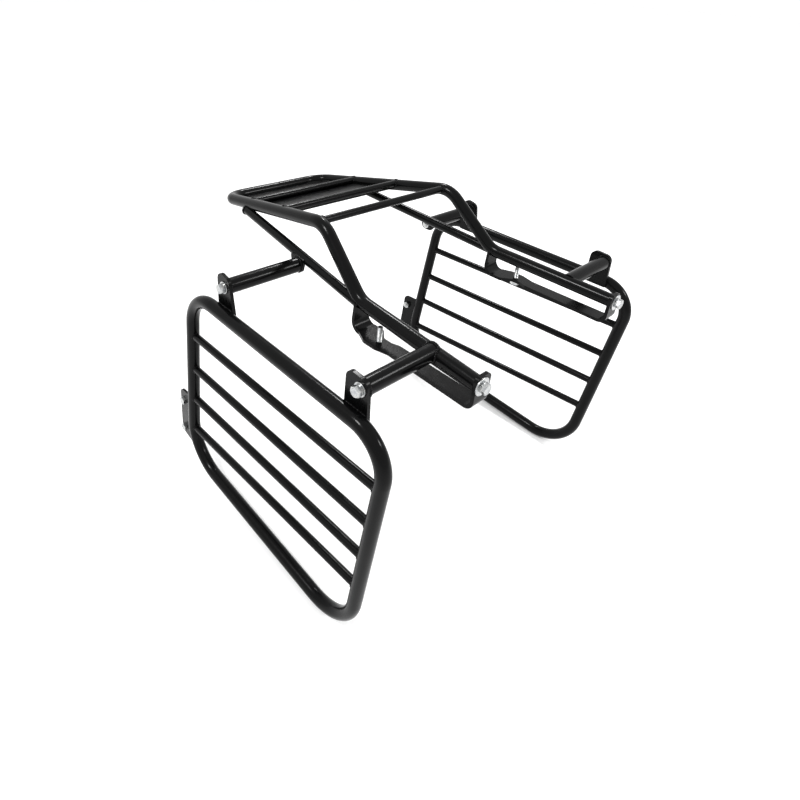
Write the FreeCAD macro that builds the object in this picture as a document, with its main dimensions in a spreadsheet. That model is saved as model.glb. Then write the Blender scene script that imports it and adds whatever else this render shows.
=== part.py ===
"""Rear luggage rack with two side pannier frames, for a motorcycle.

Millimetres. X points to the rider's right, Y forwards, Z up and square to the rail plates.
The origin is on the centre plane, half way between the two upright rail bolts, on the top
face of the rail plates. The object is symmetric about X = 0.
"""
import FreeCAD, Part
import math
import os

V = FreeCAD.Vector
doc = FreeCAD.newDocument("luggage_rack")

# ---------------------------------------------------------------- driving dimensions
DIMS = {
    "frame_dia": 20.0,          # tube of the pannier frames
    "arm_dia": 22.5,            # tube of the spacer arms
    "main_dia": 20.0,           # tube of the main loop: rails, risers and rack
    "strut_dia": 15.0,          # tube of the diagonal struts
    "wall": 1.6,                # wall of every tube
    "bar_dia": 12.0,            # solid rod of the pannier bars and the rack crossbars
    "plate_t": 5.0,             # flat steel of the rail plates and ears
    "sheet_t": 4.0,             # flat steel of lugs, uprights and brace plates
    "deck_t": 2.5,              # sheet of the deck plate
    "stub_dia": 22.5,           # boss and stub that the arms butt against
    "frame_x": 283.0,           # centre plane of a pannier frame
    "frame_rear_y": -268.0,     # upper rear corner of a pannier frame
    "frame_rear_z": -4.0,
    "frame_front_y": 148.0,     # upper front corner
    "frame_front_z": -4.0,
    "frame_low_front_y": 110.0, # lower front corner
    "frame_low_front_z": -370.5,
    "frame_low_rear_y": -311.0, # lower rear corner
    "frame_low_rear_z": -351.5,
    "rail_x": 160.0,            # front end of a rail, and its end bolt
    "rail_front_y": 159.5,
    "rail_front_z": 28.0,
    "rail_rear_x": 148.0,       # bend between a rail and its riser
    "rail_rear_y": -50.5,
    "rail_rear_z": 34.0,
    "rack_front_x": 138.0,      # bend between a riser and the rack's side
    "rack_front_y": -145.5,
    "rack_front_z": 112.5,
    "rack_rear_x": 108.5,       # rear corner of the rack
    "rack_rear_y": -458.5,
    "rack_rear_z": 49.0,
    "rail_plate_in": 144.0,     # inner and outer edge of a rail plate
    "rail_plate_out": 170.0,
    "rail_pad_in": 134.0,       # inner edge of its wider rear pad
    "rail_bolt_x": 157.5,       # upright bolt through the rear pad
    "arm_front_y": 88.5,        # axis of the front spacer arm
    "arm_front_z": 31.5,
    "arm_rear_y": -190.0,       # axis of the rear spacer arm
    "arm_rear_z": 32.5,
    "bolt_dia": 8.0,            # every bolt is M8
    "thread_dia": 7.5,          # a rail bolt's free thread, midway between crest and root
    "hex_af": 13.0,             # width across flats of heads and nuts
    "head_h": 5.3,
    "nut_h": 6.5,
    "washer_dia": 18.0,
    "washer_t": 1.6,
    "spring_washer_dia": 14.0,  # split washer between a flat washer and a head
    "spring_washer_t": 2.1,
    "flange_washer_dia": 24.0,  # wide washer on a rail plate's front flange
    "clearance_dia": 8.4,       # hole for an M8 bolt
}
sheet = doc.addObject("Spreadsheet::Sheet", "Dims")
for row, (alias, value) in enumerate(DIMS.items(), start=1):
    sheet.set("A%d" % row, alias)
    sheet.set("B%d" % row, str(value))
    sheet.setAlias("B%d" % row, alias)
doc.recompute()
D = DIMS

# share of the rear and front member at which each of the four bars is welded
BAR_REAR_SHARE = (0.238, 0.430, 0.619, 0.820)
BAR_FRONT_SHARE = (0.186, 0.358, 0.527, 0.692)
FRAME_BEND_RADII = (64.0, 50.0, 80.0, 70.0)    # upper rear, upper front, lower front, lower rear
RACK_BEND_R = 37.0
RISER_TOP_BEND_R = 45.0
RISER_FOOT_BEND_R = 42.0
# Y of each crossbar and its rise above the line of the rack's side tubes
ROD_FLUSH_RISE = (D["main_dia"] - D["bar_dia"]) / 2
CROSSBARS = {
    "crossbar_rear": (-361.0, ROD_FLUSH_RISE),
    "crossbar_middle": (-258.5, ROD_FLUSH_RISE),
    "crossbar_front": (-157.5, 0.5),
}

nodes = {}


# ---------------------------------------------------------------- helpers
def add(kind, name, **expressions):
    """One Part primitive with its sizes bound to the spreadsheet."""
    obj = doc.addObject(kind, name)
    for prop, text in expressions.items():
        obj.setExpression(prop, text)
    return obj


def turn_z_to(direction):
    return FreeCAD.Rotation(V(0, 0, 1), V(*direction))


def cylinder(name, start, direction, diameter, length):
    """diameter and length are expressions."""
    obj = add("Part::Cylinder", name, Radius="(%s) / 2" % diameter, Height=length)
    obj.Placement = FreeCAD.Placement(V(*start), turn_z_to(direction))
    return obj


def bar_between(name, start, end, diameter):
    span = V(*end) - V(*start)
    return cylinder(name, start, span, diameter, "%.4f" % span.Length)


def cut(name, base, tools):
    for index, tool in enumerate(tools):
        step = doc.addObject("Part::Cut", "%s_cut_%d" % (name, index))
        step.Base = base
        step.Tool = tool
        base = step
    return base


def fuse(name, parts):
    obj = doc.addObject("Part::MultiFuse", name + "_fused")
    obj.Shapes = parts
    return obj


def group(name, parts):
    obj = doc.addObject("Part::Compound", name + "_group")
    obj.Links = parts
    return obj


def keep(name, obj):
    """Registers an object as the node called name."""
    obj.Label = name
    nodes[name] = obj
    return obj


def bent_path(points, radii, closed=False):
    """Wire of straight runs with an arc of the given radius at each corner."""
    count = len(points)
    corners = range(count) if closed else range(1, count - 1)
    entry = {}
    exits = {}
    edges = []
    arcs = {}
    for i in corners:
        here = points[i]
        back = (points[i - 1] - here).normalize()
        ahead = (points[(i + 1) % count] - here).normalize()
        half = back.getAngle(ahead) / 2
        reach = radii[i] / math.tan(half)
        inward = (back + ahead).normalize()
        entry[i] = here + back * reach
        exits[i] = here + ahead * reach
        nearest = here + inward * (radii[i] / math.sin(half) - radii[i])
        arcs[i] = Part.Arc(entry[i], nearest, exits[i]).toShape()
    if closed:
        middle = (points[0] + points[1]) / 2
        edges.append(Part.makeLine(middle, entry[1]))
        for i in range(1, count):
            edges.append(arcs[i])
            edges.append(Part.makeLine(exits[i], entry[(i + 1) % count]))
        edges.append(arcs[0])
        edges.append(Part.makeLine(exits[0], middle))
    else:
        position = points[0]
        for i in corners:
            edges.append(Part.makeLine(position, entry[i]))
            edges.append(arcs[i])
            position = exits[i]
        edges.append(Part.makeLine(position, points[-1]))
    return Part.Wire(edges)


def swept(name, wire, diameter):
    """Round rod of the given diameter expression along a wire."""
    path = doc.addObject("Part::Feature", name + "_path")
    path.Shape = wire
    first = wire.Edges[0]
    start = first.valueAt(first.FirstParameter)
    heading = first.tangentAt(first.FirstParameter)
    profile = add("Part::Circle", name + "_profile", Radius="(%s) / 2" % diameter)
    profile.Placement = FreeCAD.Placement(start, turn_z_to(heading))
    sweep = doc.addObject("Part::Sweep", name + "_sweep")
    sweep.Sections = [profile]
    sweep.Spine = (path, ["Edge%d" % (i + 1) for i in range(len(wire.Edges))])
    sweep.Solid = True
    sweep.Frenet = False
    return sweep


def plate(name, corners, radii, normal_axis, start, thickness):
    """Flat plate from a rounded outline. corners are pairs in the plate's own plane:
    (Y, Z) for axis X, (X, Z) for axis Y and (X, Y) for axis Z."""
    place = {
        "X": lambda a, b: V(start, a, b),
        "Y": lambda a, b: V(a, start, b),
        "Z": lambda a, b: V(a, b, start),
    }[normal_axis]
    normal = {"X": V(1, 0, 0), "Y": V(0, 1, 0), "Z": V(0, 0, 1)}[normal_axis]
    points = [place(a, b) for a, b in corners]
    outline = doc.addObject("Part::Feature", name + "_outline")
    outline.Shape = bent_path(points, radii, closed=True)
    solid = doc.addObject("Part::Extrusion", name + "_plate")
    solid.Base = outline
    solid.DirMode = "Custom"
    solid.Dir = normal
    solid.Solid = True
    solid.setExpression("LengthFwd", thickness)
    return solid


def hex_prism(name, start, direction, height):
    prism = add("Part::Prism", name, Circumradius="Dims.hex_af / sqrt(3)", Height=height)
    prism.Polygon = 6
    prism.Placement = FreeCAD.Placement(V(*start), turn_z_to(direction))
    return prism


def hex_bolt(name, seat, direction, shank, thread=0.0):
    """Bolt whose head sits on seat and whose shank runs along direction. A thread, if given,
    is a slightly slimmer end beyond the shank."""
    way = V(*direction).normalize()
    head_top = V(*seat) - way * D["head_h"]
    head = hex_prism(name + "_hex", head_top, way, "Dims.head_h")
    body = cylinder(name + "_shank", seat, way, "Dims.bolt_dia", "%.3f" % shank)
    pieces = [head, body]
    if thread:
        end = V(*seat) + way * shank
        pieces.append(
            cylinder(name + "_thread", end, way, "Dims.thread_dia", "%.3f" % thread)
        )
    return fuse(name, pieces)


def washer(name, seat, direction, outer, thickness="Dims.washer_t"):
    """Washer from seat along direction."""
    ring = cylinder(name + "_disc", seat, direction, outer, thickness)
    hole = cylinder(name + "_hole", seat, direction, "Dims.clearance_dia", thickness)
    return cut(name, ring, [hole])


def spring_washer(name, seat, direction):
    return washer(name, seat, direction, "Dims.spring_washer_dia", "Dims.spring_washer_t")


def hex_nut(name, seat, direction):
    body = hex_prism(name + "_hex", seat, direction, "Dims.nut_h")
    hole = cylinder(name + "_hole", seat, direction, "Dims.bolt_dia", "Dims.nut_h")
    return cut(name, body, [hole])


def turned_end(name, x, hub_y, way, bend_r, top_z):
    """Upturned end of a rail plate: a quarter bend from the flat and an upright end.
    way is 1 at the front end and -1 at the rear end; hub_y is the Y of the bend's axis."""
    outer = bend_r + D["plate_t"]
    diagonal = math.sqrt(0.5)

    def p(run, z):
        return V(x, hub_y + way * run, z)

    outer_arc = Part.Arc(
        p(0, -D["plate_t"]),
        p(outer * diagonal, bend_r - outer * diagonal),
        p(outer, bend_r),
    )
    inner_arc = Part.Arc(
        p(bend_r, bend_r),
        p(bend_r * diagonal, bend_r - bend_r * diagonal),
        p(0, 0),
    )
    profile = doc.addObject("Part::Feature", name + "_profile")
    profile.Shape = Part.Wire([
        outer_arc.toShape(),
        Part.makeLine(p(outer, bend_r), p(outer, top_z)),
        Part.makeLine(p(outer, top_z), p(bend_r, top_z)),
        Part.makeLine(p(bend_r, top_z), p(bend_r, bend_r)),
        inner_arc.toShape(),
        Part.makeLine(p(0, 0), p(0, -D["plate_t"])),
    ])
    turned = doc.addObject("Part::Extrusion", name + "_turned")
    turned.Base = profile
    turned.DirMode = "Custom"
    turned.Dir = V(1 if x > 0 else -1, 0, 0)
    turned.Solid = True
    turned.setExpression("LengthFwd", "Dims.rail_plate_out - Dims.rail_pad_in + Dims.plate_t")
    return turned


def line_at(start, end, y):
    """Point of the line start-end at the given Y."""
    share = (y - start.y) / (end.y - start.y)
    return start + (end - start) * share


# ---------------------------------------------------------------- main loop: rails, risers, rack
rail_front = V(D["rail_x"], D["rail_front_y"], D["rail_front_z"])
rail_rear = V(D["rail_rear_x"], D["rail_rear_y"], D["rail_rear_z"])
rack_front = V(D["rack_front_x"], D["rack_front_y"], D["rack_front_z"])
rack_rear = V(D["rack_rear_x"], D["rack_rear_y"], D["rack_rear_z"])
right_half = [rail_front, rail_rear, rack_front, rack_rear]
left_half = [V(-p.x, p.y, p.z) for p in reversed(right_half)]
bends = [0, RISER_FOOT_BEND_R, RISER_TOP_BEND_R, RACK_BEND_R]
loop_wire = bent_path(right_half + left_half, bends + bends[::-1])
loop_outer = swept("main_loop", loop_wire, "Dims.main_dia")
loop_bore = swept("main_loop_bore", loop_wire, "Dims.main_dia - 2 * Dims.wall")
main_loop = cut("main_loop", loop_outer, [loop_bore])

# ---------------------------------------------------------------- rack crossbars and deck plate
for name, (y, rise) in CROSSBARS.items():
    side = line_at(rack_rear, rack_front, y)
    height = side.z + rise
    rod = bar_between(name + "_rod", (-side.x, y, height), (side.x, y, height), "Dims.bar_dia")
    keep(name, cut(name, rod, [loop_outer]))

# The deck plate lies against the underside of the two rear crossbars, in the rack's slope.
slope = math.atan2(rack_front.z - rack_rear.z, rack_front.y - rack_rear.y)
DECK_REAR_Y = D["rack_rear_y"] + 6.0
DECK_FRONT_Y = CROSSBARS["crossbar_middle"][0] + 2.0
DECK_CORNER = 44.0    # chamfer that clears the rack's rear bends
deck_rear = line_at(rack_rear, rack_front, DECK_REAR_Y)
deck_front = line_at(rack_rear, rack_front, DECK_FRONT_Y)
chamfer = line_at(rack_rear, rack_front, DECK_REAR_Y + DECK_CORNER)
deck_length = (DECK_FRONT_Y - DECK_REAR_Y) / math.cos(slope)
chamfer_length = DECK_CORNER / math.cos(slope)
deck_half = [
    (deck_rear.x - DECK_CORNER, 0.0),
    (chamfer.x, chamfer_length),
    (deck_front.x, deck_length),
]
deck_outline = Part.makePolygon(
    [V(x, y, 0) for x, y in deck_half]
    + [V(-x, y, 0) for x, y in reversed(deck_half)]
    + [V(deck_half[0][0], 0, 0)]
)
deck_base = doc.addObject("Part::Feature", "deck_outline")
deck_base.Shape = deck_outline
deck_solid = doc.addObject("Part::Extrusion", "deck_solid")
deck_solid.Base = deck_base
deck_solid.DirMode = "Custom"
deck_solid.Dir = V(0, 0, -1)
deck_solid.Solid = True
deck_solid.setExpression("LengthFwd", "Dims.deck_t")
# the rods' underside, measured square to the slope from the line of the side tubes' centres
under_rods = ROD_FLUSH_RISE * math.cos(slope) - D["bar_dia"] / 2
deck_solid.Placement = FreeCAD.Placement(
    V(0, deck_rear.y - under_rods * math.sin(slope), deck_rear.z + under_rods * math.cos(slope)),
    FreeCAD.Rotation(V(1, 0, 0), math.degrees(slope)),
)
keep("deck_plate", cut("deck_plate", deck_solid, [loop_outer]))

# ---------------------------------------------------------------- both sides
SQUARE = 0.01                   # corner radius of an outline's square corner
EAR_IN_X = 269.5                # inner face of the ears, where the arms butt
EAR_DEPTH = 6.0                 # how far an ear reaches below the centre line of the frame's tube
EAR_OUTLINES = {                # rear base, rear top, front top, front base, from the bolt's axis
    "front": ((-25.0, None), (-24.0, 16.0), (11.0, 14.0), (14.0, None)),
    "rear": ((-18.0, None), (-17.0, 21.0), (12.0, 15.0), (22.0, None)),
}
EAR_RADII = (2.0, 11.0, 11.0, 2.0)
LUG_OUT_X = 149.5               # outer face of the strut lugs
LUG_REAR_TOP = (-17.0, 4.0)     # top corners: run from the arm's axis, rise from the strut's
LUG_FRONT_TOP = (15.0, 2.0)
LUG_FRONT_FOOT = (11.0, -11.0)  # lower corners, from the arm's axis
LUG_REAR_FOOT = (-13.0, -11.0)
LUG_RADII = (3.0, 3.0, 9.0, 9.0)
ARM_FRONT_END_X = 198.5         # joint between the front arm and its stub
ARM_REAR_END_X = 168.0          # joint between the rear arm and its boss
ARM_BOLT_REACH = 25.0           # how far the front arm's bolt runs on into its stub
THREAD_BEYOND_NUT = 3.0
REAR_TOP_IN_X = 137.5            # top corners of a rail plate's upturned rear end
REAR_TOP_OUT_X = 160.5
REAR_BEND_R = 12.0              # inside radius of that upturned rear end
REAR_HUB_Y = -33.0              # axis of its bend
REAR_END_RADII = (SQUARE, 4.0, 4.0, SQUARE)
FLANGE_TOP_Z = 41.5
FLANGE_CORNER_R = 7.0
FLANGE_BEND_R = 8.0             # inside radius of the rail plate's upturned front
STRIP_FRONT_Y = D["rail_front_y"] - FLANGE_BEND_R
PAD_REAR_OUT_X = 164.0          # outer edge of the pad at its rear end
PAD_OUT_X = 172.5               # and beside the bolt
RAIL_WAIST_X = 167.0            # and in front of the pad
RAIL_NECK_X = 148.0             # inner edge beside the gap in front of the pad
PAD_FRONT_Y = -15.0
PAD_NARROW_Y = 5.0              # where the pad's outer edge starts to run in
NECK_START_Y = 0.0
NECK_END_Y = 14.0
STRIP_START_Y = 26.0
STRIP_RADII = (SQUARE, 7.0, 6.0, 5.0, 8.0, SQUARE, SQUARE, 12.0, 10.0, 12.0, SQUARE)
RAIL_BOLT_THREAD = 21.5         # thread that stands above the rail plate, clear of the rail
END_BOLT_SHANK = 25.0
STRUT_TOP = V(123.5, -367.5, 57.5)
STRUT_FOOT = V(151.4, -50.0, 31.8)
BRACE_OUTLINE = ((-291.0, -225.0), (-340.0, -228.0), (-347.5, -325.5), (-296.0, -336.0))
BRACE_RADII = (3.0, 10.0, 10.0, 3.0)
BRACE_BOLTS = ((-329.0, -248.0), (-334.0, -311.0))
BRACE_BOLT_SHANK = D["sheet_t"] + D["nut_h"] + THREAD_BEYOND_NUT
ear_washers = []
ear_springs = []
flange_washers = []
flange_springs = []
rail_washers = []
lug_nuts = []
brace_nuts = []
frame_corner = [
    V(0, D["frame_rear_y"], D["frame_rear_z"]),
    V(0, D["frame_front_y"], D["frame_front_z"]),
    V(0, D["frame_low_front_y"], D["frame_low_front_z"]),
    V(0, D["frame_low_rear_y"], D["frame_low_rear_z"]),
]

for side, sign in (("right", 1), ("left", -1)):

    def at(x, y, z):
        return V(sign * x, y, z)

    out = V(sign, 0, 0)
    inward = V(-sign, 0, 0)

    # pannier frame: one closed loop of bent tube
    corners = [at(D["frame_x"], p.y, p.z) for p in frame_corner]
    frame_wire = bent_path(corners, FRAME_BEND_RADII, closed=True)
    frame_outer = swept("pannier_frame_" + side, frame_wire, "Dims.frame_dia")
    frame_bore = swept("pannier_bore_" + side, frame_wire, "Dims.frame_dia - 2 * Dims.wall")
    keep("pannier_frame_" + side, cut("pannier_frame_" + side, frame_outer, [frame_bore]))

    # four rods between its rear and front members
    for index, (rear, front) in enumerate(zip(BAR_REAR_SHARE, BAR_FRONT_SHARE), start=1):
        name = "pannier_bar_%d_%s" % (index, side)
        start = corners[0] + (corners[3] - corners[0]) * rear
        end = corners[1] + (corners[2] - corners[1]) * front
        rod = bar_between(name + "_rod", start, end, "Dims.bar_dia")
        keep(name, cut(name, rod, [frame_outer]))

    # rail plate: flat strip with a wide rear pad and an upturned front flange
    strip_outline = [
        (sign * D["rail_pad_in"], REAR_HUB_Y),
        (sign * D["rail_pad_in"], PAD_FRONT_Y),
        (sign * RAIL_NECK_X, NECK_START_Y),
        (sign * RAIL_NECK_X, NECK_END_Y),
        (sign * D["rail_plate_in"], STRIP_START_Y),
        (sign * D["rail_plate_in"], STRIP_FRONT_Y),
        (sign * D["rail_plate_out"], STRIP_FRONT_Y),
        (sign * RAIL_WAIST_X, STRIP_START_Y),
        (sign * PAD_OUT_X, PAD_NARROW_Y),
        (sign * PAD_OUT_X, PAD_FRONT_Y),
        (sign * PAD_REAR_OUT_X, REAR_HUB_Y),
    ]
    strip_name = "rail_plate_" + side
    strip = plate(strip_name, strip_outline, STRIP_RADII, "Z", -D["plate_t"], "Dims.plate_t")
    turned_up = turned_end(
        strip_name + "_front", sign * D["rail_plate_in"], STRIP_FRONT_Y, 1,
        FLANGE_BEND_R, FLANGE_TOP_Z,
    )
    flange_outline = [
        (sign * D["rail_plate_in"], -D["plate_t"]),
        (sign * D["rail_plate_in"], FLANGE_TOP_Z),
        (sign * D["rail_plate_out"], FLANGE_TOP_Z),
        (sign * D["rail_plate_out"], -D["plate_t"]),
    ]
    flange_radii = (SQUARE, FLANGE_CORNER_R, FLANGE_CORNER_R, SQUARE)
    trim = plate(
        strip_name + "_trim", flange_outline, flange_radii,
        "Y", STRIP_FRONT_Y, "%.3f" % (FLANGE_BEND_R + 2 * D["plate_t"]),
    )
    flange = doc.addObject("Part::Common", strip_name + "_flange")
    flange.Base = turned_up
    flange.Tool = trim

    # its rear end is turned up too and is welded under the rail
    riser_up = turned_end(
        strip_name + "_rear", sign * D["rail_pad_in"], REAR_HUB_Y, -1,
        REAR_BEND_R, D["rail_rear_z"],
    )
    rear_outline = [
        (sign * D["rail_pad_in"], -D["plate_t"]),
        (sign * REAR_TOP_IN_X, D["rail_rear_z"]),
        (sign * REAR_TOP_OUT_X, D["rail_rear_z"]),
        (sign * PAD_REAR_OUT_X, -D["plate_t"]),
    ]
    rear_trim = plate(
        strip_name + "_rear_trim", rear_outline, REAR_END_RADII,
        "Y", REAR_HUB_Y - REAR_BEND_R - 2 * D["plate_t"],
        "%.3f" % (REAR_BEND_R + 2 * D["plate_t"]),
    )
    rear_end = doc.addObject("Part::Common", strip_name + "_rear_end")
    rear_end.Base = riser_up
    rear_end.Tool = rear_trim
    bolt_hole = cylinder(
        strip_name + "_bolt_hole", at(D["rail_bolt_x"], 0, -2 * D["plate_t"]), (0, 0, 1),
        "Dims.clearance_dia", "3 * Dims.plate_t",
    )
    end_hole = cylinder(
        strip_name + "_end_hole",
        at(D["rail_x"], D["rail_front_y"] - D["plate_t"], D["rail_front_z"]), (0, 1, 0),
        "Dims.clearance_dia", "3 * Dims.plate_t",
    )
    plate_body = fuse(strip_name, [strip, flange, rear_end])
    keep(strip_name, cut(strip_name, plate_body, [bolt_hole, end_hole, loop_outer]))

    # upright bolt through the rear pad, head below
    name = "rail_bolt_" + side
    seat = at(D["rail_bolt_x"], 0, -D["plate_t"] - D["washer_t"])
    rail_grip = D["plate_t"] + D["washer_t"]
    keep(name, hex_bolt(name, seat, (0, 0, 1), rail_grip, RAIL_BOLT_THREAD))
    rail_washers.append(
        washer("rail_washer_" + side, at(D["rail_bolt_x"], 0, -D["plate_t"]), (0, 0, -1),
               "Dims.washer_dia")
    )

    # end bolt along the rail, through the flange
    flange_face = at(D["rail_x"], D["rail_front_y"] + D["plate_t"], D["rail_front_z"])
    flange_washers.append(
        washer("flange_washer_" + side, flange_face, (0, 1, 0), "Dims.flange_washer_dia")
    )
    spring_seat = flange_face + V(0, D["washer_t"], 0)
    flange_springs.append(spring_washer("flange_spring_" + side, spring_seat, (0, 1, 0)))
    name = "flange_bolt_" + side
    head_seat = spring_seat + V(0, D["spring_washer_t"], 0)
    keep(name, hex_bolt(name, head_seat, (0, -1, 0), END_BOLT_SHANK))

    # strut from the rack's side down to the foot of the riser
    name = "strut_" + side
    top = at(STRUT_TOP.x, STRUT_TOP.y, STRUT_TOP.z)
    foot = at(STRUT_FOOT.x, STRUT_FOOT.y, STRUT_FOOT.z)
    strut_rod = bar_between(name + "_rod", top, foot, "Dims.strut_dia")
    strut_bore = bar_between(
        name + "_bore", top, foot, "Dims.strut_dia - 2 * Dims.wall"
    )
    keep(name, cut(name, strut_rod, [strut_bore, loop_outer]))

    # lug that hangs from the strut and takes the rear arm
    name = "strut_lug_" + side
    on_strut = line_at(STRUT_TOP, STRUT_FOOT, D["arm_rear_y"])
    lug_outline = [
        (D["arm_rear_y"] + LUG_REAR_TOP[0], on_strut.z + LUG_REAR_TOP[1]),
        (D["arm_rear_y"] + LUG_FRONT_TOP[0], on_strut.z + LUG_FRONT_TOP[1]),
        (D["arm_rear_y"] + LUG_FRONT_FOOT[0], D["arm_rear_z"] + LUG_FRONT_FOOT[1]),
        (D["arm_rear_y"] + LUG_REAR_FOOT[0], D["arm_rear_z"] + LUG_REAR_FOOT[1]),
    ]
    lug_start = sign * LUG_OUT_X - (D["sheet_t"] if sign > 0 else 0)
    lug = plate(name, lug_outline, LUG_RADII, "X", lug_start, "Dims.sheet_t")
    lug_hole = cylinder(
        name + "_hole", at(LUG_OUT_X, D["arm_rear_y"], D["arm_rear_z"]), inward,
        "Dims.clearance_dia", "Dims.sheet_t",
    )
    keep(name, cut(name, lug, [strut_rod, lug_hole]))

    # boss between the lug and the rear arm
    name = "rear_arm_boss_" + side
    boss_seat = at(LUG_OUT_X, D["arm_rear_y"], D["arm_rear_z"])
    boss_length = "%.3f" % (ARM_REAR_END_X - LUG_OUT_X)
    boss = cylinder(name + "_rod", boss_seat, out, "Dims.stub_dia", boss_length)
    boss_bore = cylinder(name + "_bore", boss_seat, out, "Dims.clearance_dia", boss_length)
    keep(name, cut(name, boss, [boss_bore]))

    # stub welded to the outside of the rail for the front arm
    name = "front_arm_stub_" + side
    rail_here = line_at(rail_rear, rail_front, D["arm_front_y"])
    stub_start = at(rail_here.x, D["arm_front_y"], D["arm_front_z"])
    stub_length = "%.3f" % (ARM_FRONT_END_X - rail_here.x)
    stub = cylinder(name + "_rod", stub_start, out, "Dims.stub_dia", stub_length)
    stub_bore = cylinder(name + "_bore", stub_start, out, "Dims.bolt_dia", stub_length)
    keep(name, cut(name, stub, [loop_outer, stub_bore]))

    # spacer arms, ears, their long bolts
    for place, y, z, arm_end, bolt_end in (
        ("front", D["arm_front_y"], D["arm_front_z"], ARM_FRONT_END_X,
         ARM_FRONT_END_X - ARM_BOLT_REACH),
        ("rear", D["arm_rear_y"], D["arm_rear_z"], ARM_REAR_END_X,
         LUG_OUT_X - D["sheet_t"] - D["nut_h"] - THREAD_BEYOND_NUT),
    ):
        name = "arm_%s_%s" % (place, side)
        length = "%.3f" % (EAR_IN_X - arm_end)
        tube = cylinder(name + "_tube", at(arm_end, y, z), out, "Dims.arm_dia", length)
        bore = cylinder(
            name + "_bore", at(arm_end, y, z), out, "Dims.arm_dia - 4 * Dims.wall", length
        )
        keep(name, cut(name, tube, [bore]))

        name = "ear_%s_%s" % (place, side)
        ear_outline = []
        for run, rise in EAR_OUTLINES[place]:
            tube_z = line_at(frame_corner[0], frame_corner[1], y + run).z
            ear_outline.append((y + run, tube_z - EAR_DEPTH if rise is None else z + rise))
        ear_start = sign * EAR_IN_X - (0 if sign > 0 else D["plate_t"])
        ear = plate(name, ear_outline, EAR_RADII, "X", ear_start, "Dims.plate_t")
        hole = cylinder(
            name + "_hole", at(EAR_IN_X, y, z), out, "Dims.clearance_dia", "Dims.plate_t"
        )
        keep(name, cut(name, ear, [frame_outer, hole]))

        ear_face = at(EAR_IN_X + D["plate_t"], y, z)
        ear_washers.append(
            washer("ear_washer_%s_%s" % (place, side), ear_face, out, "Dims.washer_dia")
        )
        spring_seat = ear_face + out * D["washer_t"]
        ear_springs.append(
            spring_washer("ear_spring_%s_%s" % (place, side), spring_seat, out)
        )
        name = "arm_bolt_%s_%s" % (place, side)
        head_seat = spring_seat + out * D["spring_washer_t"]
        shank = abs(head_seat.x) - bolt_end
        keep(name, hex_bolt(name, head_seat, inward, shank))

    nut_seat = at(LUG_OUT_X - D["sheet_t"], D["arm_rear_y"], D["arm_rear_z"])
    lug_nuts.append(hex_nut("lug_nut_" + side, nut_seat, inward))

    # brace plate on the rear member, with two bolts
    name = "brace_plate_" + side
    brace_start = sign * D["frame_x"] - D["sheet_t"] / 2
    brace = plate(name, BRACE_OUTLINE, BRACE_RADII, "X", brace_start, "Dims.sheet_t")
    holes = []
    bolts = []
    for index, (y, z) in enumerate(BRACE_BOLTS, start=1):
        item = "brace_%s_%d" % (side, index)
        inner_face = at(D["frame_x"] - D["sheet_t"] / 2, y, z)
        holes.append(
            cylinder(item + "_hole", inner_face, out, "Dims.clearance_dia", "Dims.sheet_t")
        )
        outer_face = at(D["frame_x"] + D["sheet_t"] / 2, y, z)
        bolts.append(hex_bolt(item + "_bolt", outer_face, inward, BRACE_BOLT_SHANK))
        brace_nuts.append(hex_nut(item + "_nut", inner_face, inward))
    keep(name, cut(name, brace, [frame_outer] + holes))
    keep("brace_bolts_" + side, group("brace_bolts_" + side, bolts))

# hole in each rail's closed end for its end bolt is the tube's own bore
keep("main_loop_tube", main_loop)
keep("ear_washers", group("ear_washers", ear_washers))
keep("ear_spring_washers", group("ear_spring_washers", ear_springs))
keep("flange_washers", group("flange_washers", flange_washers))
keep("flange_spring_washers", group("flange_spring_washers", flange_springs))
keep("rail_bolt_washers", group("rail_bolt_washers", rail_washers))
keep("lug_nuts", group("lug_nuts", lug_nuts))
keep("brace_nuts", group("brace_nuts", brace_nuts))

# ---------------------------------------------------------------- checks and export
doc.recompute()
for obj in doc.Objects:
    if "Invalid" in obj.State or "Error" in obj.State:
        raise RuntimeError("%s did not build" % obj.Label)
for name, obj in nodes.items():
    if obj.Shape.isNull() or not obj.Shape.isValid() or not obj.Shape.Solids:
        raise RuntimeError("%s has no valid solid" % name)

os.makedirs("parts", exist_ok=True)
for name, obj in nodes.items():
    obj.Shape.exportStep("parts/%s.step" % name)
    print(name, len(obj.Shape.Solids), "solids", round(obj.Shape.Volume), "mm3")
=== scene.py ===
"""Studio scene of a motorcycle luggage rack: finishes, weld beads, detailed fasteners, light, camera.

Everything is in metres in the CAD frame: X to the rider's right, Y forwards, Z up.
"""
import bpy
import math
import numpy as np
from mathutils import Matrix, Vector


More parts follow.
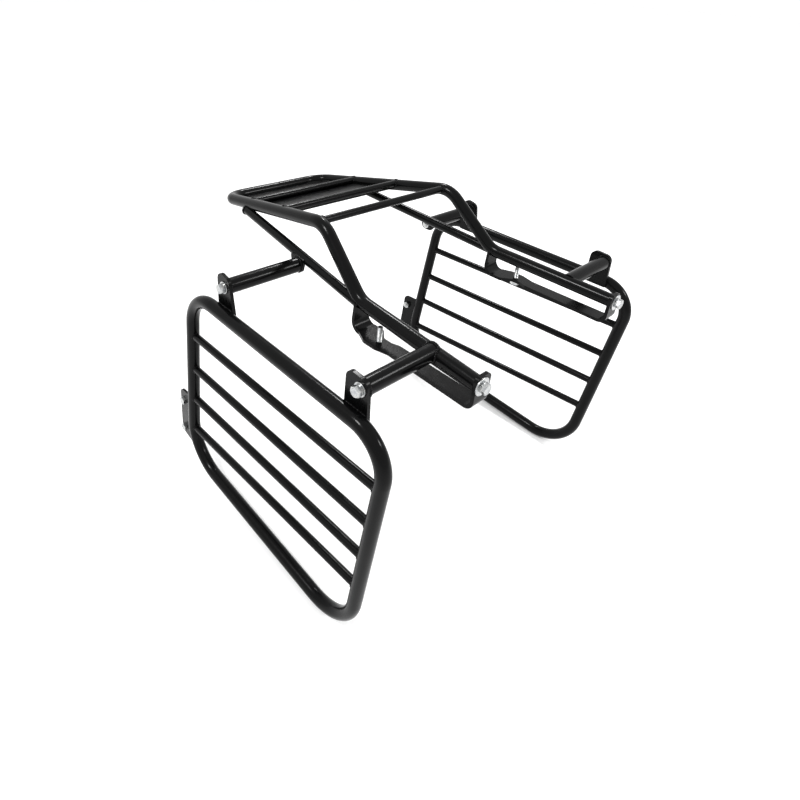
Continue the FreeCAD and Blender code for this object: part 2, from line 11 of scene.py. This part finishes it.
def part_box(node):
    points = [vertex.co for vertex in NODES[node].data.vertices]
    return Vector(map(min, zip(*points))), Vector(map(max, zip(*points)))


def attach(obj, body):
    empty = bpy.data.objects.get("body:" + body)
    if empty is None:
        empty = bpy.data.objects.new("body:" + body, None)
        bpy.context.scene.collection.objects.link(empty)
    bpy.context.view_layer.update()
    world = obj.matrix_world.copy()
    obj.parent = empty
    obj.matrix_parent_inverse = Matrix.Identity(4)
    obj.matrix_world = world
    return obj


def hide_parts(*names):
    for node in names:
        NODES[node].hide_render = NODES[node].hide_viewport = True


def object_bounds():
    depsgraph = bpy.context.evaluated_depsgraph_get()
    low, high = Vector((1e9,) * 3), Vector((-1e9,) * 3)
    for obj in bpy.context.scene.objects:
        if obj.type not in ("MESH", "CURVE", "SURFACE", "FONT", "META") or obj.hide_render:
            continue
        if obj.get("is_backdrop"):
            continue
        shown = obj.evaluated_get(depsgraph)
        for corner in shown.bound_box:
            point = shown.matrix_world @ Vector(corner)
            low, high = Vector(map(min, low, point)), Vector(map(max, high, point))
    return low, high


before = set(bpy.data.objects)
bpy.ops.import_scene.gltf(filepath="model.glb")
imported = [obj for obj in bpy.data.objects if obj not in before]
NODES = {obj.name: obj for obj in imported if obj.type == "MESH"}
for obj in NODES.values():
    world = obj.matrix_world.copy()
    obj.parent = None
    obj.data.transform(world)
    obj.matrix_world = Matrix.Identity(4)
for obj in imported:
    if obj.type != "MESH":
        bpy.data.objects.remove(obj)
cad_low, cad_high = (tuple(corner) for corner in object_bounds())
SIDES = ("right", "left")
SIGN = {"right": 1.0, "left": -1.0}
MM = 0.001


# ---------------------------------------------------------------- material helpers
def new_material(name):
    material = bpy.data.materials.new(name)
    material.use_nodes = True
    tree = material.node_tree
    shader = tree.nodes["Principled BSDF"]
    return material, tree, shader


def node(tree, kind, **sockets):
    made = tree.nodes.new(kind)
    for key, value in sockets.items():
        made.inputs[key.replace("_", " ")].default_value = value
    return made


def ramp(tree, source, stops):
    """Colour ramp over a factor; stops are (position, colour)."""
    made = tree.nodes.new("ShaderNodeValToRGB")
    elements = made.color_ramp.elements
    while len(elements) < len(stops):
        elements.new(0.5)
    for element, (position, colour) in zip(elements, stops):
        element.position = position
        element.color = (*colour, 1.0)
    tree.links.new(source, made.inputs["Fac"])
    return made


def grey(value):
    return (value, value, value)


def coat_material(name, tone, rough_low, rough_high, peel):
    """Black powder coat: faint orange peel, uneven gloss, scattered dust specks."""
    material, tree, shader = new_material(name)
    place = tree.nodes.new("ShaderNodeTexCoord").outputs["Object"]

    cloud = node(tree, "ShaderNodeTexNoise", Scale=38.0, Detail=6.0, Roughness=0.6)
    tree.links.new(place, cloud.inputs["Vector"])
    tint = ramp(tree, cloud.outputs["Fac"], (
        (0.30, tuple(0.75 * c for c in tone)),
        (0.60, tone),
        (0.85, tuple(1.5 * c for c in tone)),
    ))
    specks = node(tree, "ShaderNodeTexVoronoi", Scale=420.0, Randomness=1.0)
    tree.links.new(place, specks.inputs["Vector"])
    speck_mask = ramp(tree, specks.outputs["Distance"], ((0.035, grey(1.0)), (0.075, grey(0.0))))
    dust = tree.nodes.new("ShaderNodeMix")
    dust.data_type = "RGBA"
    tree.links.new(speck_mask.outputs["Color"], dust.inputs["Factor"])
    tree.links.new(tint.outputs["Color"], dust.inputs["A"])
    dust.inputs["B"].default_value = (*grey(0.03), 1.0)
    tree.links.new(dust.outputs["Result"], shader.inputs["Base Color"])

    gloss = node(tree, "ShaderNodeTexNoise", Scale=95.0, Detail=4.0, Roughness=0.55)
    tree.links.new(place, gloss.inputs["Vector"])
    rough = ramp(tree, gloss.outputs["Fac"], ((0.30, grey(rough_low)), (0.75, grey(rough_high))))
    tree.links.new(rough.outputs["Color"], shader.inputs["Roughness"])

    orange_peel = node(tree, "ShaderNodeTexNoise", Scale=620.0, Detail=3.0, Roughness=0.5)
    tree.links.new(place, orange_peel.inputs["Vector"])
    bump = node(tree, "ShaderNodeBump", Strength=peel, Distance=0.0004)
    tree.links.new(orange_peel.outputs["Fac"], bump.inputs["Height"])
    tree.links.new(bump.outputs["Normal"], shader.inputs["Normal"])

    shader.inputs["Specular IOR Level"].default_value = 0.07
    shader.inputs["Coat Weight"].default_value = 0.06
    shader.inputs["Coat Roughness"].default_value = 0.05
    return material


def zinc_material(name, rough_low, rough_high):
    """Bright zinc plate: slightly blue and yellow patches, fine crystalline grain."""
    material, tree, shader = new_material(name)
    place = tree.nodes.new("ShaderNodeTexCoord").outputs["Object"]
    patches = node(tree, "ShaderNodeTexNoise", Scale=210.0, Detail=5.0, Roughness=0.6)
    tree.links.new(place, patches.inputs["Vector"])
    tint = ramp(tree, patches.outputs["Fac"], (
        (0.28, (0.26, 0.27, 0.29)),
        (0.50, (0.44, 0.45, 0.45)),
        (0.74, (0.56, 0.55, 0.52)),
    ))
    tree.links.new(tint.outputs["Color"], shader.inputs["Base Color"])
    grain = node(tree, "ShaderNodeTexVoronoi", Scale=1500.0)
    tree.links.new(place, grain.inputs["Vector"])
    rough = ramp(tree, grain.outputs["Color"], ((0.1, grey(rough_low)), (0.9, grey(rough_high))))
    tree.links.new(rough.outputs["Color"], shader.inputs["Roughness"])
    bump = node(tree, "ShaderNodeBump", Strength=0.25, Distance=0.0002)
    tree.links.new(grain.outputs["Distance"], bump.inputs["Height"])
    tree.links.new(bump.outputs["Normal"], shader.inputs["Normal"])
    shader.inputs["Metallic"].default_value = 1.0
    return material


TUBE_COAT = coat_material("tube_coat", (0.0020, 0.0021, 0.0022), 0.16, 0.26, 0.12)
PLATE_COAT = coat_material("plate_coat", (0.0022, 0.0023, 0.0024), 0.20, 0.32, 0.16)
DECK_COAT = coat_material("deck_coat", (0.0024, 0.0025, 0.0026), 0.26, 0.40, 0.20)
WELD_COAT = coat_material("weld_coat", (0.0024, 0.0024, 0.0026), 0.12, 0.22, 0.25)
ZINC = zinc_material("zinc_plate", 0.18, 0.36)
ZINC_THREAD = zinc_material("zinc_thread", 0.26, 0.46)


def finish_node(name, material):
    mesh = NODES[name].data
    for index in range(max(1, len(mesh.materials))):
        if index < len(mesh.materials):
            mesh.materials[index] = material
        else:
            mesh.materials.append(material)


PLATE_STEMS = ("rail_plate", "strut_lug", "ear_front", "ear_rear", "brace_plate")
FASTENER_STEMS = ("washer", "bolt", "nut")
FASTENERS = sorted(name for name in NODES if any(stem in name for stem in FASTENER_STEMS))
for name in NODES:
    if name in FASTENERS:
        finish_node(name, ZINC)
    elif name == "deck_plate":
        finish_node(name, DECK_COAT)
    elif name.startswith(PLATE_STEMS):
        finish_node(name, PLATE_COAT)
    else:
        finish_node(name, TUBE_COAT)


# ---------------------------------------------------------------- mesh helpers
def middle(name):
    low, high = (Vector(corner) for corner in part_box(name))
    return (low + high) / 2


def mesh_object(name, points, faces, material, smooth=True):
    mesh = bpy.data.meshes.new(name)
    mesh.from_pydata([tuple(p) for p in points], [], faces)
    mesh.materials.append(material)
    for polygon in mesh.polygons:
        polygon.use_smooth = smooth
    mesh.update()
    piece = bpy.data.objects.new(name, mesh)
    bpy.context.scene.collection.objects.link(piece)
    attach(piece, "root")
    return piece


class Builder:
    """Collects several surfaces into one mesh."""

    def __init__(self):
        self.points = []
        self.faces = []

    def grid(self, rows, closed_across=True):
        """rows is a list of equally long rings of points."""
        start = len(self.points)
        across = len(rows[0])
        for row in rows:
            self.points.extend(row)
        last = across if closed_across else across - 1
        for r in range(len(rows) - 1):
            for c in range(last):
                a = start + r * across + c
                b = start + r * across + (c + 1) % across
                self.faces.append((a, b, b + across, a + across))

    def cap(self, ring, flip=False):
        start = len(self.points)
        self.points.extend(ring)
        order = list(range(start, start + len(ring)))
        self.faces.append(tuple(reversed(order)) if flip else tuple(order))

    def make(self, name, material, smooth=True):
        return mesh_object(name, self.points, self.faces, material, smooth)


def basis(direction, hint=Vector((0, 0, 1))):
    """Two unit vectors square to direction."""
    way = direction.normalized()
    if abs(way.dot(hint)) > 0.95:
        hint = Vector((0, 1, 0))
    first = (hint - way * hint.dot(way)).normalized()
    return first, way.cross(first)


# ---------------------------------------------------------------- weld beads
BEAD_SIDES = 8
RIPPLES_PER_METRE = 420.0
RIPPLE_DEPTH = 0.13             # of the bead's radius
SADDLE_STEPS = 72
LINE_STEP = 0.6 * MM
# bead radii
BAR_BEAD = 1.5 * MM
CROSSBAR_BEAD = 1.7 * MM
STRUT_BEAD = 1.8 * MM
STUB_BEAD = 2.2 * MM
BOSS_BEAD = 1.6 * MM
ARM_BEAD = 2.0 * MM
EAR_BEAD = 2.0 * MM
# how far a loop's centre may lie from the place looked at
CROSSBAR_REACH = 12 * MM
STRUT_REACH = 30 * MM
STUB_REACH = 14 * MM
FLAT_END_REACH = 3 * MM
EAR_INSET = 2 * MM              # the ear's bead stops this far short of the ear's ends


def bead_along(builder, path, outwards, radius, closed):
    """A rippled bead along a path. outwards gives the direction the bead stands out in."""
    count = len(path)
    rows = []
    run = 0.0
    for i, point in enumerate(path):
        ahead = path[(i + 1) % count] if closed or i + 1 < count else point
        behind = path[i - 1] if closed or i > 0 else point
        tangent = (ahead - behind).normalized()
        if i:
            run += (point - path[i - 1]).length
        up = outwards[i] - tangent * outwards[i].dot(tangent)
        up.normalize()
        across = tangent.cross(up)
        swell = 1.0 + RIPPLE_DEPTH * math.sin(2 * math.pi * RIPPLES_PER_METRE * run)
        if not closed:
            end = min(i, count - 1 - i)
            swell *= min(1.0, 0.35 + 0.3 * end)
        ring = []
        for k in range(BEAD_SIDES):
            turn = 2 * math.pi * k / BEAD_SIDES
            ring.append(point + (up * math.cos(turn) + across * math.sin(turn)) * radius * swell)
        rows.append(ring)
    if closed:
        rows.append(rows[0])
    builder.grid(rows)
    if not closed:
        builder.cap(rows[0], flip=True)
        builder.cap(rows[-1])


def saddle_weld(builder, hub, rod_way, tube_way, rod_r, tube_r, radius):
    """Bead where a rod leaves a tube whose axis runs through hub along tube_way."""
    rod_way = rod_way.normalized()
    along = (tube_way - rod_way * tube_way.dot(rod_way)).normalized()
    side = rod_way.cross(along)
    slant = tube_way.normalized().dot(rod_way) / tube_way.normalized().dot(along)
    path = []
    outwards = []
    for i in range(SADDLE_STEPS):
        turn = math.radians(360.0 * i / SADDLE_STEPS)
        u = rod_r * math.cos(turn)
        v = rod_r * math.sin(turn)
        square = math.sqrt(max(0.0, tube_r ** 2 - v ** 2))
        depth = square * math.sqrt(1 + slant ** 2) + u * slant
        path.append(hub + rod_way * depth + along * u + side * v)
        outwards.append((along * u + side * v).normalized() + rod_way * 0.8)
    bead_along(builder, path, outwards, radius, closed=True)


def line_weld(builder, start, end, outward, radius):
    steps = max(12, int((end - start).length / LINE_STEP))
    path = [start.lerp(end, i / steps) for i in range(steps + 1)]
    bead_along(builder, path, [outward.copy() for _ in path], radius, closed=False)


def rod_ends(name):
    """The two ends of a straight rod, on its axis, in no fixed order."""
    mesh = NODES[name].data
    points = np.array([tuple(v.co) for v in mesh.vertices])
    centre = (points.max(axis=0) + points.min(axis=0)) / 2
    _, _, axes = np.linalg.svd(points - points.mean(axis=0), full_matrices=False)
    way = Vector(axes[0])
    along = (points - centre) @ axes[0]
    hub = Vector(centre)
    return [hub + way * float(along.min()), hub + way * float(along.max())]


FRAME_R = (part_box("pannier_frame_right")[1][0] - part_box("pannier_frame_right")[0][0]) / 2
BAR_R = 0.006
END_DEPTH = 0.88                # a bar's end to the frame tube's axis, in tube radii; an estimate

pannier_welds = Builder()
for side in SIDES:
    frame_x = middle("pannier_frame_" + side).x
    rears = []
    fronts = []
    for number in range(1, 5):
        ends = rod_ends("pannier_bar_%d_%s" % (number, side))
        ends.sort(key=lambda p: p.y)
        for end in ends:
            end.x = frame_x
        rears.append(ends[0])
        fronts.append(ends[1])
    for members, nearer in ((rears, 1.0), (fronts, -1.0)):
        tube_way = (members[-1] - members[0]).normalized()
        for rear, front, here in zip(rears, fronts, members):
            rod_way = (front - rear).normalized() * nearer
            hub = here - rod_way * (FRAME_R * END_DEPTH)
            saddle_weld(pannier_welds, hub, rod_way, tube_way, BAR_R, FRAME_R, BAR_BEAD)
pannier_welds.make("pannier_welds", WELD_COAT)

SHARP_COS = 0.75      # two faces meet in a sharp edge when their normals differ more than this
BEAD_STEP = 0.6 * MM


def merged_mesh(name):
    """Distinct points of a node's mesh, and its faces as lists of point numbers with normals."""
    mesh = NODES[name].data
    numbers = {}
    points = []
    renumbered = []
    for vertex in mesh.vertices:
        key = tuple(round(c, 6) for c in vertex.co)
        if key not in numbers:
            numbers[key] = len(points)
            points.append(Vector(vertex.co))
        renumbered.append(numbers[key])
    faces = []
    for polygon in mesh.polygons:
        faces.append(([renumbered[v] for v in polygon.vertices], polygon.normal.copy()))
    return points, faces


def sharp_loops(name):
    """Closed loops of a node's sharp edges, each a list of points."""
    points, faces = merged_mesh(name)
    normals = {}
    for corners, normal in faces:
        for a, b in zip(corners, corners[1:] + corners[:1]):
            if a != b:
                normals.setdefault((min(a, b), max(a, b)), []).append(normal)
    neighbours = {}
    for (a, b), sides in normals.items():
        if len(sides) == 2 and sides[0].dot(sides[1]) < SHARP_COS:
            neighbours.setdefault(a, set()).add(b)
            neighbours.setdefault(b, set()).add(a)
    loops = []
    for start in list(neighbours):
        loop = [start]
        here = start
        while neighbours[here]:
            ahead = neighbours[here].pop()
            neighbours[ahead].discard(here)
            here = ahead
            loop.append(here)
            if here == start:
                break
        if here == start and len(loop) > 8:
            loops.append([points[number] for number in loop[:-1]])
    return loops


def centre_of(points):
    return sum(points, Vector()) / len(points)


def widest_loop_near(name, place, reach):
    """The largest loop of sharp edges whose centre is within reach of place."""
    near = [loop for loop in sharp_loops(name) if (centre_of(loop) - place).length < reach]

    def width(loop):
        centre = centre_of(loop)
        return sum((p - centre).length for p in loop) / len(loop)

    return max(near, key=width) if near else None


def loop_weld(builder, name, place, reach, radius):
    """Bead along the widest closed loop of sharp edges found near one end of a rod or tube.

    Where none is found no bead is made, as at three of the struts' four ends. At
    front_arm_stub_left the loop found is the bore's, so the bead is there.
    """
    loop = widest_loop_near(name, place, reach)
    if loop is None:
        return
    closed = loop + [loop[0]]
    lengths = [0.0]
    for a, b in zip(closed, closed[1:]):
        lengths.append(lengths[-1] + (b - a).length)
    count = int(lengths[-1] / BEAD_STEP)
    path = []
    segment = 0
    for i in range(count):
        run = lengths[-1] * i / count
        while lengths[segment + 1] < run:
            segment += 1
        share = (run - lengths[segment]) / (lengths[segment + 1] - lengths[segment])
        path.append(closed[segment].lerp(closed[segment + 1], share))
    centre = centre_of(path)
    bead_along(builder, path, [(p - centre).normalized() for p in path], radius, closed=True)


def box_end(name, axis, high):
    """Middle of one end of a node's box."""
    low_corner, high_corner = (Vector(corner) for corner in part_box(name))
    place = (low_corner + high_corner) / 2
    place[axis] = high_corner[axis] if high else low_corner[axis]
    return place


tube_welds = Builder()
for name in ("crossbar_rear", "crossbar_middle", "crossbar_front"):
    for high in (False, True):
        loop_weld(tube_welds, name, box_end(name, 0, high), CROSSBAR_REACH, CROSSBAR_BEAD)
for side in SIDES:
    outer_is_high = SIGN[side] > 0
    for end in rod_ends("strut_" + side):
        loop_weld(tube_welds, "strut_" + side, end, STRUT_REACH, STRUT_BEAD)
    stub = "front_arm_stub_" + side
    stub_end = box_end(stub, 0, not outer_is_high)
    loop_weld(tube_welds, stub, stub_end, STUB_REACH, STUB_BEAD)
    boss = "rear_arm_boss_" + side
    boss_end = box_end(boss, 0, not outer_is_high)
    loop_weld(tube_welds, boss, boss_end, FLAT_END_REACH, BOSS_BEAD)
    for place in ("front", "rear"):
        arm = "arm_%s_%s" % (place, side)
        loop_weld(tube_welds, arm, box_end(arm, 0, outer_is_high), FLAT_END_REACH, ARM_BEAD)
        # the ear's foot, along the top of the frame's tube
        ear_low, ear_high = (Vector(corner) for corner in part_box("ear_%s_%s" % (place, side)))
        face_x = ear_high.x if outer_is_high else ear_low.x
        tube = middle("pannier_frame_" + side)
        tube_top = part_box("pannier_frame_" + side)[1][2]
        aside = abs(tube.x) - abs(face_x)
        rise = math.sqrt(max(0.0, FRAME_R ** 2 - aside ** 2))
        foot_z = tube_top - FRAME_R + rise
        line_weld(
            tube_welds, Vector((face_x, ear_low.y + EAR_INSET, foot_z)),
            Vector((face_x, ear_high.y - EAR_INSET, foot_z)), Vector((SIGN[side], 0, 1)), EAR_BEAD,
        )
tube_welds.make("tube_welds", WELD_COAT)


# ---------------------------------------------------------------- detailed fasteners
HEX_AF = 13.0 * MM
HEAD_H = 5.3 * MM
SEAT_RISE = 0.3 * MM            # washer face under a bolt's head
PITCH = 1.25 * MM
THREAD_DEPTH = 0.55 * MM
THREAD_R = 3.88 * MM
SHANK_R = 3.95 * MM
NUT_BORE_R = 4.0 * MM
WASHER_BORE_R = 4.2 * MM
WASHER_EASE = 0.25 * MM
SPLIT_TURN = 0.9                # where a split washer is cut, in radians
SPLIT_GAP = 0.16
SPLIT_LEAN = 0.10
CHAMFER_TOP = 0.95              # chamfer circle over half the width across flats
CHAMFER_SLOPE = math.tan(math.radians(30))
DISH_RIM = 0.78                 # hollow in a head's top, in chamfer circle radii
DISH_FOOT = 0.70
DISH_CENTRE = 0.02
DISH_FOOT_DEPTH = 0.35 * MM
DISH_CENTRE_DEPTH = 0.40 * MM
HEAD_INNER_R = 0.1 * MM
SMALLEST_BORE_R = 0.5 * MM      # a hexagon open wider than this is a nut
SHORTEST_PLAIN = 0.2 * MM
THREAD_TAPER = 0.8 * MM
STEPS_PER_TURN = 8
RING_SIDES = 96
ROUND_SIDES = 48
UP_AXES = {0: Vector((1, 0, 0)), 1: Vector((0, 1, 0)), 2: Vector((0, 0, 1))}


def loose_pieces(name):
    """Point lists of a node's separate solids."""
    points, faces = merged_mesh(name)
    parent = list(range(len(points)))

    def root(i):
        while parent[i] != i:
            parent[i] = parent[parent[i]]
            i = parent[i]
        return i

    for corners, _ in faces:
        for corner in corners[1:]:
            parent[root(corner)] = root(corners[0])
    pieces = {}
    for i, point in enumerate(points):
        pieces.setdefault(root(i), []).append(point)
    return list(pieces.values())


def corners_of(points):
    low = Vector([min(p[k] for p in points) for k in range(3)])
    high = Vector([max(p[k] for p in points) for k in range(3)])
    return low, high


def corner_spoke(points, hub, way):
    """Direction from the axis to the farthest point: a corner of the hexagon."""
    spokes = [(p - hub) - way * (p - hub).dot(way) for p in points]
    return max(spokes, key=lambda spoke: spoke.length).normalized()


def hex_radius(turn):
    """Radius of the hexagon at an angle from a corner."""
    return (HEX_AF / 2) / math.cos(turn % (math.pi / 3) - math.pi / 6)


def hex_rings(hub, way, spoke, height, chamfer_base, inner):
    """Rings of a chamfered hexagon from its seat at hub; inner is the radius left open."""
    other = way.cross(spoke)
    top_r = CHAMFER_TOP * HEX_AF / 2

    def ring(radius_at, z_at):
        made = []
        for k in range(RING_SIDES):
            turn = 2 * math.pi * k / RING_SIDES
            direction = spoke * math.cos(turn) + other * math.sin(turn)
            made.append(hub + direction * radius_at(turn) + way * z_at(turn))
        return made

    def drop(turn):
        return max(0.0, hex_radius(turn) - top_r) * CHAMFER_SLOPE

    rings = [ring(lambda t: inner, lambda t: 0.0), ring(lambda t: top_r, lambda t: 0.0)]
    if chamfer_base:
        rings.append(ring(hex_radius, drop))
    else:
        rings.append(ring(lambda t: top_r, lambda t: SEAT_RISE))
        rings.append(ring(hex_radius, lambda t: SEAT_RISE))
    rings.append(ring(hex_radius, lambda t: height - drop(t)))
    rings.append(ring(lambda t: top_r, lambda t: height))
    if inner > SMALLEST_BORE_R:
        rings.append(ring(lambda t: inner, lambda t: height))
        rings.append(rings[0])
    else:
        rings.append(ring(lambda t: DISH_RIM * top_r, lambda t: height))
        rings.append(ring(lambda t: DISH_FOOT * top_r, lambda t: height - DISH_FOOT_DEPTH))
        rings.append(ring(lambda t: DISH_CENTRE * top_r, lambda t: height - DISH_CENTRE_DEPTH))
    return rings


def thread_rings(start, way, radius, length):
    """Rings of a helical thread from start along way, tapering at its end."""
    first, second = basis(way)
    steps = max(8, int(length / (PITCH / STEPS_PER_TURN)))
    rings = []
    for i in range(steps + 1):
        z = length * i / steps
        from_end = length - z
        taper = min(1.0, from_end / THREAD_TAPER)
        ring = []
        for k in range(ROUND_SIDES):
            share = k / ROUND_SIDES
            turn = 2 * math.pi * share
            phase = (z / PITCH - share) % 1.0
            groove = THREAD_DEPTH * (1 - abs(2 * phase - 1))
            r = radius - groove * taper - (1 - taper) * THREAD_DEPTH
            ring.append(start + way * z + (first * math.cos(turn) + second * math.sin(turn)) * r)
        rings.append(ring)
    return rings


def plain_rings(start, way, radius, length):
    first, second = basis(way)
    rings = []
    for z in (0.0, length):
        ring = []
        for k in range(ROUND_SIDES):
            turn = 2 * math.pi * k / ROUND_SIDES
            ring.append(start + way * z + (first * math.cos(turn) + second * math.sin(turn)) * radius)
        rings.append(ring)
    return rings


def build_bolt(metal, thread, points, axis, head_high, thread_length):
    """A bolt in the box of points: head_high tells at which end of its axis the head is."""
    low, high = corners_of(points)
    way = UP_AXES[axis] * (1.0 if head_high else -1.0)
    hub = (low + high) / 2
    total = high[axis] - low[axis]
    head_top = hub + way * total / 2
    seat = head_top - way * HEAD_H
    spoke = corner_spoke(points, hub, way)
    metal.grid(hex_rings(seat, way, spoke, HEAD_H, False, HEAD_INNER_R))
    shank = total - HEAD_H
    plain = shank - thread_length
    if plain > SHORTEST_PLAIN:
        metal.grid(plain_rings(seat, -way, SHANK_R, plain))
    rings = thread_rings(seat - way * plain, -way, THREAD_R, thread_length)
    thread.grid(rings)
    thread.cap(rings[-1])


def build_nut(metal, points, axis):
    low, high = corners_of(points)
    way = UP_AXES[axis]
    hub = (low + high) / 2
    hub[axis] = low[axis]
    spoke = corner_spoke(points, hub, way)
    metal.grid(hex_rings(hub, way, spoke, high[axis] - low[axis], True, NUT_BORE_R))


def build_washer(metal, points, axis, split):
    """Flat washer with eased edges; a split one is cut through on the slant."""
    low, high = corners_of(points)
    way = UP_AXES[axis]
    hub = (low + high) / 2
    hub[axis] = low[axis]
    thick = high[axis] - low[axis]
    outer = (high - low)[(axis + 1) % 3] / 2
    inner = WASHER_BORE_R
    ease = WASHER_EASE
    section = (
        (inner, ease), (inner + ease, 0.0), (outer - ease, 0.0), (outer, ease),
        (outer, thick - ease), (outer - ease, thick), (inner + ease, thick), (inner, thick - ease),
    )
    first, second = basis(way)
    gap = SPLIT_GAP if split else 0.0
    rows = []
    for k in range(RING_SIDES + 1):
        row = []
        for r, z in section:
            lean = SPLIT_LEAN * (z / thick - 0.5) if split else 0.0
            turn = SPLIT_TURN + gap / 2 + lean + (2 * math.pi - gap) * k / RING_SIDES
            row.append(hub + way * z + (first * math.cos(turn) + second * math.sin(turn)) * r)
        rows.append(row)
    metal.grid(rows)
    if split:
        metal.cap(rows[0])
        metal.cap(rows[-1], flip=True)


# axis of each kind of fastener: 0 for X, 1 for Y, 2 for Z
FASTENER_AXIS = (
    ("rail_bolt", 2), ("flange", 1), ("arm_bolt", 0), ("brace", 0), ("ear", 0), ("lug", 0),
)
# length of thread, in mm
BOLT_THREADS = {"rail_bolt": 21.5, "flange_bolt": 16.0, "arm_bolt": 22.0, "brace_bolts": 8.0}


def axis_of(name):
    return next(axis for stem, axis in FASTENER_AXIS if name.startswith(stem))


for name in FASTENERS:
    metal = Builder()
    thread = Builder()
    axis = axis_of(name)
    for points in loose_pieces(name):
        if "washer" in name:
            build_washer(metal, points, axis, "spring" in name)
        elif "nut" in name:
            build_nut(metal, points, axis)
        else:
            stem = next(stem for stem in BOLT_THREADS if name.startswith(stem))
            side_sign = SIGN["right" if name.endswith("right") else "left"]
            head_high = {0: side_sign > 0, 1: True, 2: False}[axis]
            build_bolt(metal, thread, points, axis, head_high, BOLT_THREADS[stem] * MM)
    piece = metal.make(name + "_detail", ZINC, smooth=False)
    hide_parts(name)
    if thread.points:
        thread.make(name + "_thread", ZINC_THREAD, smooth=False)

# ---------------------------------------------------------------- floor, light, camera
FLOOR_SIZE = 120.0
FLOOR_GAP = 0.0005              # between the floor and the lowest point of the CAD
floor_z = cad_low[2]


def stage_plane(name, size, z):
    mesh = bpy.data.meshes.new(name)
    half = size / 2
    mesh.from_pydata([(-half, -half, z), (half, -half, z), (half, half, z), (-half, half, z)],
                     [], [(0, 1, 2, 3)])
    plane = bpy.data.objects.new(name, mesh)
    bpy.context.scene.collection.objects.link(plane)
    plane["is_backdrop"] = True
    return plane


floor = stage_plane("floor", FLOOR_SIZE, floor_z - FLOOR_GAP)
floor_material, _, floor_shader = new_material("floor_paint")
floor_shader.inputs["Base Color"].default_value = (0.95, 0.95, 0.95, 1.0)
floor_shader.inputs["Roughness"].default_value = 0.9
floor_shader.inputs["Specular IOR Level"].default_value = 0.1
floor.data.materials.append(floor_material)

world = bpy.data.worlds.new("studio")
bpy.context.scene.world = world
world.use_nodes = True
world.node_tree.nodes["Background"].inputs["Color"].default_value = (1.0, 1.0, 1.0, 1.0)
world.node_tree.nodes["Background"].inputs["Strength"].default_value = 1.06


def area_light(name, place, target, size, power):
    data = bpy.data.lights.new(name, "AREA")
    data.shape = "RECTANGLE"
    data.size, data.size_y = size
    data.energy = power
    lamp = bpy.data.objects.new(name, data)
    lamp.location = place
    lamp.rotation_mode = "QUATERNION"
    lamp.rotation_quaternion = (Vector(target) - Vector(place)).to_track_quat("-Z", "Y")
    bpy.context.scene.collection.objects.link(lamp)


area_light("key", (1.6, -0.6, 2.0), (0.0, 0.0, 0.0), (0.5, 0.5), 42.0)
area_light("fill", (-1.4, 1.8, 1.6), (0.0, 0.0, -0.1), (0.6, 0.5), 24.0)
area_light("rim", (-1.0, -1.2, 1.5), (0.0, -0.1, 0.0), (0.25, 0.25), 14.0)

CAMERA_PLACE = Vector((0.6267, 0.4375, 0.4207))
CAMERA_FORWARD = Vector((-0.617, -0.627, -0.476)).normalized()
CAMERA_UP = Vector((-0.279, -0.391, 0.877))
camera_data = bpy.data.cameras.new("camera")
camera_data.sensor_width = 36.0
camera_data.lens = 26.06
camera_data.shift_x = 0.0475
camera_data.shift_y = -0.1375
camera_data.clip_start = 0.01
camera = bpy.data.objects.new("camera", camera_data)
bpy.context.scene.collection.objects.link(camera)
right = CAMERA_FORWARD.cross(CAMERA_UP).normalized()
up = right.cross(CAMERA_FORWARD)
turn = Matrix((right, up, -CAMERA_FORWARD)).transposed().to_4x4()
camera.matrix_world = Matrix.Translation(CAMERA_PLACE) @ turn
bpy.context.scene.camera = camera
bpy.context.scene.view_settings.view_transform = "Standard"

# ---------------------------------------------------------------- final view layer update
bpy.context.view_layer.update()
